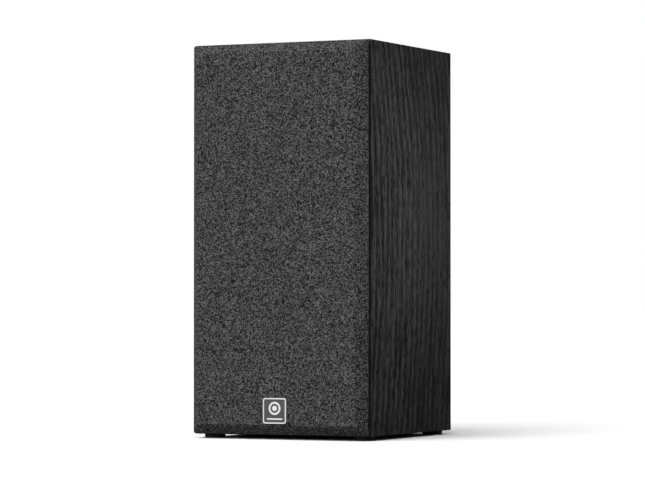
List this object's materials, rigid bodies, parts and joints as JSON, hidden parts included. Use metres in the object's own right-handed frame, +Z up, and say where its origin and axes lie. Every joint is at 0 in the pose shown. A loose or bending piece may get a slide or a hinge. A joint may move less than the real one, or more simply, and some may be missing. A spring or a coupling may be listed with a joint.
{
  "type": "bookshelf loudspeaker",
  "caption": "Bookshelf loudspeaker box with a lift-off cloth grille on push-in pegs, a sprung cone and dome, a rear port and screw-down binding posts.",
  "frame": {"origin": "middle of the overall outline, on the surface the feet stand on", "axes": "+X right as the front is faced, +Y from the front to the back, +Z up"},
  "size_m": [0.15, 0.1652, 0.3032],
  "materials": {
    "mdf": "raw fibreboard",
    "painted_mdf": "black paint",
    "veneer": "embossed black ash grain",
    "pine": "sawn",
    "wadding": "fluffy",
    "rubber": "matt",
    "grille_plastic": "moulded",
    "grille_fabric": "speckled weave",
    "badge_field": "satin",
    "badge_metal": "polished",
    "basket_metal": "satin black",
    "trim_plastic": "satin",
    "cone_paper": "mineral filled",
    "cap_plastic": "gloss",
    "spider_cloth": "resin stiffened",
    "former_film": "film",
    "copper": "enamelled",
    "steel": "zinc plated",
    "ferrite": "ground",
    "braid": "braided",
    "screw_steel": "black",
    "dome_cloth": "coated",
    "paxolin": "laminate",
    "tinned_brass": "tinned",
    "foam": "closed cell",
    "cup_plastic": "moulded",
    "plated_brass": "gold plated",
    "red_plastic": "gloss",
    "black_plastic": "gloss",
    "circuit_board": "lacquered",
    "nylon": "moulded",
    "capacitor_film": "film wrapped",
    "cement": "cast",
    "red_insulation": "flexible",
    "black_insulation": "flexible"
  },
  "bodies": {
    "cabinet": {"black_leads": "black_insulation", "bottom_panel": "mdf", "capacitors": "capacitor_film", "corner_battens": "pine", "crossover_board": "circuit_board", "crossover_screws": "screw_steel", "crossover_standoffs": "nylon", "damping_wadding": "wadding", "driver_tag_boards": "paxolin", "foam_gaskets": "foam", "front_baffle": "painted_mdf", "inductors": "copper", "lead_tags": "tinned_brass", "left_side_panel": "mdf", "peg_sockets": "rubber", "port_tube": "trim_plastic", "post_collar_black": "black_plastic", "post_collar_red": "red_plastic", "post_lock_nuts": "plated_brass", "post_studs": "plated_brass", "rear_panel": "painted_mdf", "red_leads": "red_insulation", "resistors": "cement", "right_side_panel": "mdf", "rubber_feet": "rubber", "shelf_brace": "mdf", "terminal_cup": "cup_plastic", "terminal_screws": "screw_steel", "top_panel": "mdf", "tweeter_faceplate": "trim_plastic", "tweeter_magnet": "ferrite", "tweeter_screws": "screw_steel", "tweeter_surround": "dome_cloth", "tweeter_top_plate": "steel", "tweeter_yoke": "steel", "vinyl_wrap": "veneer", "woofer_basket": "basket_metal", "woofer_magnet": "ferrite", "woofer_screws": "screw_steel", "woofer_spider": "spider_cloth", "woofer_surround": "rubber", "woofer_tinsel_leads": "braid", "woofer_top_plate": "steel", "woofer_trim_ring": "trim_plastic", "woofer_yoke": "steel"},
    "grille": {"grille_frame": "grille_plastic", "grille_cloth": "grille_fabric", "grille_pegs": "grille_plastic", "badge_plate": "badge_field", "badge_trim": "badge_metal"},
    "woofer_diaphragm": {"woofer_cone": "cone_paper", "woofer_dust_cap": "cap_plastic", "woofer_coil_former": "former_film", "woofer_voice_coil": "copper"},
    "tweeter_diaphragm": {"tweeter_dome": "dome_cloth", "tweeter_coil": "copper"},
    "red_washer": {"post_washer_red": "plated_brass"},
    "red_nut": {"post_nut_red": "red_plastic"},
    "black_washer": {"post_washer_black": "plated_brass"},
    "black_nut": {"post_nut_black": "black_plastic"}
  },
  "joints": [
    {"name": "grille_pull", "type": "slide", "parent": "cabinet", "child": "grille", "axis": [0, -1, 0], "range_m": [0, 0.12]},
    {"name": "woofer_excursion", "type": "slide", "parent": "cabinet", "child": "woofer_diaphragm", "axis": [0, -1, 0], "range_m": [-0.004, 0.004], "stiffness_N_per_m": 1000, "deforming": ["woofer_surround", "woofer_spider", "woofer_tinsel_leads"]},
    {"name": "tweeter_excursion", "type": "slide", "parent": "cabinet", "child": "tweeter_diaphragm", "axis": [0, -1, 0], "range_m": [-0.0005, 0.0005], "stiffness_N_per_m": 1000, "deforming": ["tweeter_surround"]},
    {"name": "red_washer_slide", "type": "slide", "parent": "cabinet", "child": "red_washer", "axis": [0, 1, 0], "range_m": [0, 0.005]},
    {"name": "red_nut_turn", "type": "hinge", "parent": "red_washer", "child": "red_nut", "pos_m": [-0.0095, 0.0758, 0.0512], "axis": [0, 1, 0], "range_deg": [0, 1801]},
    {"name": "black_washer_slide", "type": "slide", "parent": "cabinet", "child": "black_washer", "axis": [0, 1, 0], "range_m": [0, 0.005]},
    {"name": "black_nut_turn", "type": "hinge", "parent": "black_washer", "child": "black_nut", "pos_m": [0.0095, 0.0758, 0.0512], "axis": [0, 1, 0], "range_deg": [0, 1801]}
  ],
  "couplings": [
    {"joint": "red_nut_turn", "follows": "red_washer_slide", "rad_per_m": 6283.2},
    {"joint": "black_nut_turn", "follows": "black_washer_slide", "rad_per_m": 6283.2}
  ]
}
